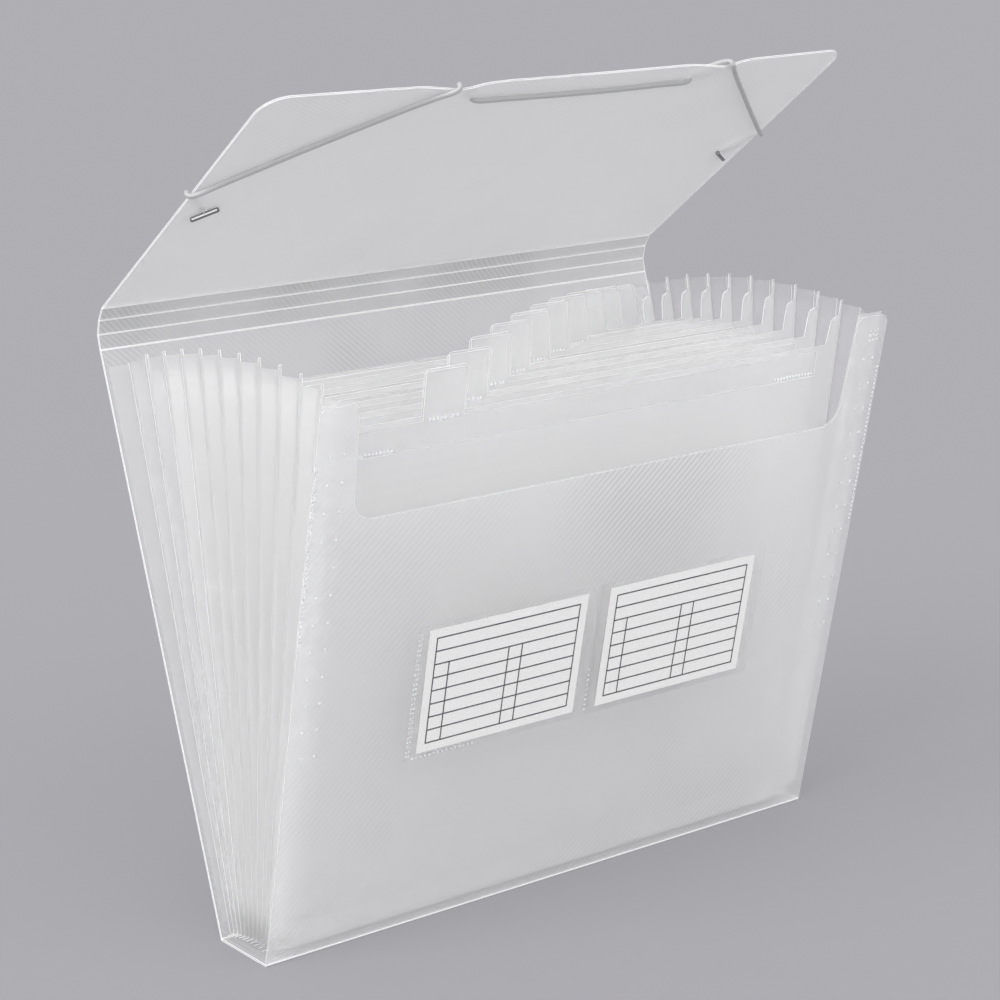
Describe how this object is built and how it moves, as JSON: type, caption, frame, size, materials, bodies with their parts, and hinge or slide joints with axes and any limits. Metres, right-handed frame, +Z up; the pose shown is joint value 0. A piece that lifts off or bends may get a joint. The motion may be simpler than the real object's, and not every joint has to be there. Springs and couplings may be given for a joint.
{
  "type": "accordion file folder",
  "caption": "Translucent plastic expanding file with folded side pleats, stepped index tabs, label sleeves and a raised flap with an elastic cord, standing open on its base.",
  "frame": {"origin": "centre of the base strip, on the ground", "axes": "+X along the width, to the right seen from the front; -Y is the front, with the labels; +Z up"},
  "size_m": [0.3354, 0.1798, 0.3908],
  "materials": {
    "cover": "frosted translucent sheet with a fine slanting emboss",
    "film": "thin frosted translucent film",
    "card": "uncoated, ruled",
    "cord": "woven elastic",
    "bar": "plain crimped metal"
  },
  "bodies": {
    "base": {"base_strip": "cover"},
    "back": {"back_panel": "cover", "back_flange": "film", "pleat_left_01": "film", "pleat_right_01": "film"},
    "divider_01": {"divider_01": "film", "index_sleeve_01": "film", "pleat_left_02": "film", "pleat_right_02": "film"},
    "divider_02": {"divider_02": "film", "index_sleeve_02": "film", "pleat_left_03": "film", "pleat_right_03": "film"},
    "divider_03": {"divider_03": "film", "index_sleeve_03": "film", "pleat_left_04": "film", "pleat_right_04": "film"},
    "divider_04": {"divider_04": "film", "index_sleeve_04": "film", "pleat_left_05": "film", "pleat_right_05": "film"},
    "divider_05": {"divider_05": "film", "index_sleeve_05": "film", "pleat_left_06": "film", "pleat_right_06": "film"},
    "divider_06": {"divider_06": "film", "index_sleeve_06": "film", "pleat_left_07": "film", "pleat_right_07": "film"},
    "divider_07": {"divider_07": "film", "index_sleeve_07": "film", "pleat_left_08": "film", "pleat_right_08": "film"},
    "divider_08": {"divider_08": "film", "index_sleeve_08": "film", "pleat_left_09": "film", "pleat_right_09": "film"},
    "divider_09": {"divider_09": "film", "index_sleeve_09": "film", "pleat_left_10": "film", "pleat_right_10": "film"},
    "divider_10": {"divider_10": "film", "index_sleeve_10": "film", "pleat_left_11": "film", "pleat_right_11": "film"},
    "front_end": {"front_flange": "film"},
    "front": {"front_panel": "cover", "label_sleeve_left": "film", "label_sleeve_right": "film", "label_card_left": "card", "label_card_right": "card"},
    "spine_1": {"spine_strip_1": "cover"},
    "spine_2": {"spine_strip_2": "cover"},
    "spine_3": {"spine_strip_3": "cover"},
    "flap": {"flap": "cover", "elastic_cord": "cord", "end_bar_left": "bar", "end_bar_right": "bar"}
  },
  "joints": [
    {"name": "back_fold", "type": "hinge", "parent": "base", "child": "back", "pos_m": [0, 0.0182, 0.0004], "axis": [1, 0, 0], "range_deg": [0, 18.5]},
    {"name": "front_fold", "type": "hinge", "parent": "base", "child": "front", "pos_m": [0, -0.0182, 0.0004], "axis": [1, 0, 0], "range_deg": [-11.5, 0]},
    {"name": "pocket_01", "type": "hinge", "parent": "back", "child": "divider_01", "pos_m": [0, 0.01497, 0.00253], "axis": [1, 0, 0], "range_deg": [-2.74, 0], "deforming": ["pleat_left_01", "pleat_right_01"]},
    {"name": "pocket_02", "type": "hinge", "parent": "divider_01", "child": "divider_02", "pos_m": [0, 0.01191, 0.0034], "axis": [1, 0, 0], "range_deg": [-2.74, 0], "deforming": ["pleat_left_02", "pleat_right_02"]},
    {"name": "pocket_03", "type": "hinge", "parent": "divider_02", "child": "divider_03", "pos_m": [0, 0.0088, 0.00412], "axis": [1, 0, 0], "range_deg": [-2.74, 0], "deforming": ["pleat_left_03", "pleat_right_03"]},
    {"name": "pocket_04", "type": "hinge", "parent": "divider_03", "child": "divider_04", "pos_m": [0, 0.00567, 0.00469], "axis": [1, 0, 0], "range_deg": [-2.74, 0], "deforming": ["pleat_left_04", "pleat_right_04"]},
    {"name": "pocket_05", "type": "hinge", "parent": "divider_04", "child": "divider_05", "pos_m": [0, 0.00251, 0.00511], "axis": [1, 0, 0], "range_deg": [-2.74, 0], "deforming": ["pleat_left_05", "pleat_right_05"]},
    {"name": "pocket_06", "type": "hinge", "parent": "divider_05", "child": "divider_06", "pos_m": [0, -0.00067, 0.00538], "axis": [1, 0, 0], "range_deg": [-2.74, 0], "deforming": ["pleat_left_06", "pleat_right_06"]},
    {"name": "pocket_07", "type": "hinge", "parent": "divider_06", "child": "divider_07", "pos_m": [0, -0.00385, 0.0055], "axis": [1, 0, 0], "range_deg": [-2.74, 0], "deforming": ["pleat_left_07", "pleat_right_07"]},
    {"name": "pocket_08", "type": "hinge", "parent": "divider_07", "child": "divider_08", "pos_m": [0, -0.00703, 0.00547], "axis": [1, 0, 0], "range_deg": [-2.74, 0], "deforming": ["pleat_left_08", "pleat_right_08"]},
    {"name": "pocket_09", "type": "hinge", "parent": "divider_08", "child": "divider_09", "pos_m": [0, -0.01022, 0.00528], "axis": [1, 0, 0], "range_deg": [-2.74, 0], "deforming": ["pleat_left_09", "pleat_right_09"]},
    {"name": "pocket_10", "type": "hinge", "parent": "divider_09", "child": "divider_10", "pos_m": [0, -0.01338, 0.00495], "axis": [1, 0, 0], "range_deg": [-2.74, 0], "deforming": ["pleat_left_10", "pleat_right_10"]},
    {"name": "pocket_11", "type": "hinge", "parent": "divider_10", "child": "front_end", "pos_m": [0, -0.01653, 0.00446], "axis": [1, 0, 0], "range_deg": [-2.74, 0], "deforming": ["pleat_left_11", "pleat_right_11"]},
    {"name": "lid_fold_1", "type": "hinge", "parent": "back", "child": "spine_1", "pos_m": [0, 0.10546, 0.26119], "axis": [1, 0, 0], "range_deg": [-57, 9]},
    {"name": "lid_fold_2", "type": "hinge", "parent": "spine_1", "child": "spine_2", "pos_m": [0, 0.10718, 0.26808], "axis": [1, 0, 0], "range_deg": [-57, 9]},
    {"name": "lid_fold_3", "type": "hinge", "parent": "spine_2", "child": "spine_3", "pos_m": [0, 0.1057, 0.27502], "axis": [1, 0, 0], "range_deg": [-57, 9]},
    {"name": "lid_fold_4", "type": "hinge", "parent": "spine_3", "child": "flap", "pos_m": [0, 0.10226, 0.28123], "axis": [1, 0, 0], "range_deg": [-57, 9]}
  ],
  "couplings": [
    {"joint": "front_fold", "follows": "back_fold", "ratio": -0.62162},
    {"joint": "pocket_01", "follows": "back_fold", "ratio": -0.14742},
    {"joint": "pocket_02", "follows": "back_fold", "ratio": -0.14742},
    {"joint": "pocket_03", "follows": "back_fold", "ratio": -0.14742},
    {"joint": "pocket_04", "follows": "back_fold", "ratio": -0.14742},
    {"joint": "pocket_05", "follows": "back_fold", "ratio": -0.14742},
    {"joint": "pocket_06", "follows": "back_fold", "ratio": -0.14742},
    {"joint": "pocket_07", "follows": "back_fold", "ratio": -0.14742},
    {"joint": "pocket_08", "follows": "back_fold", "ratio": -0.14742},
    {"joint": "pocket_09", "follows": "back_fold", "ratio": -0.14742},
    {"joint": "pocket_10", "follows": "back_fold", "ratio": -0.14742},
    {"joint": "pocket_11", "follows": "back_fold", "ratio": -0.14742}
  ]
}
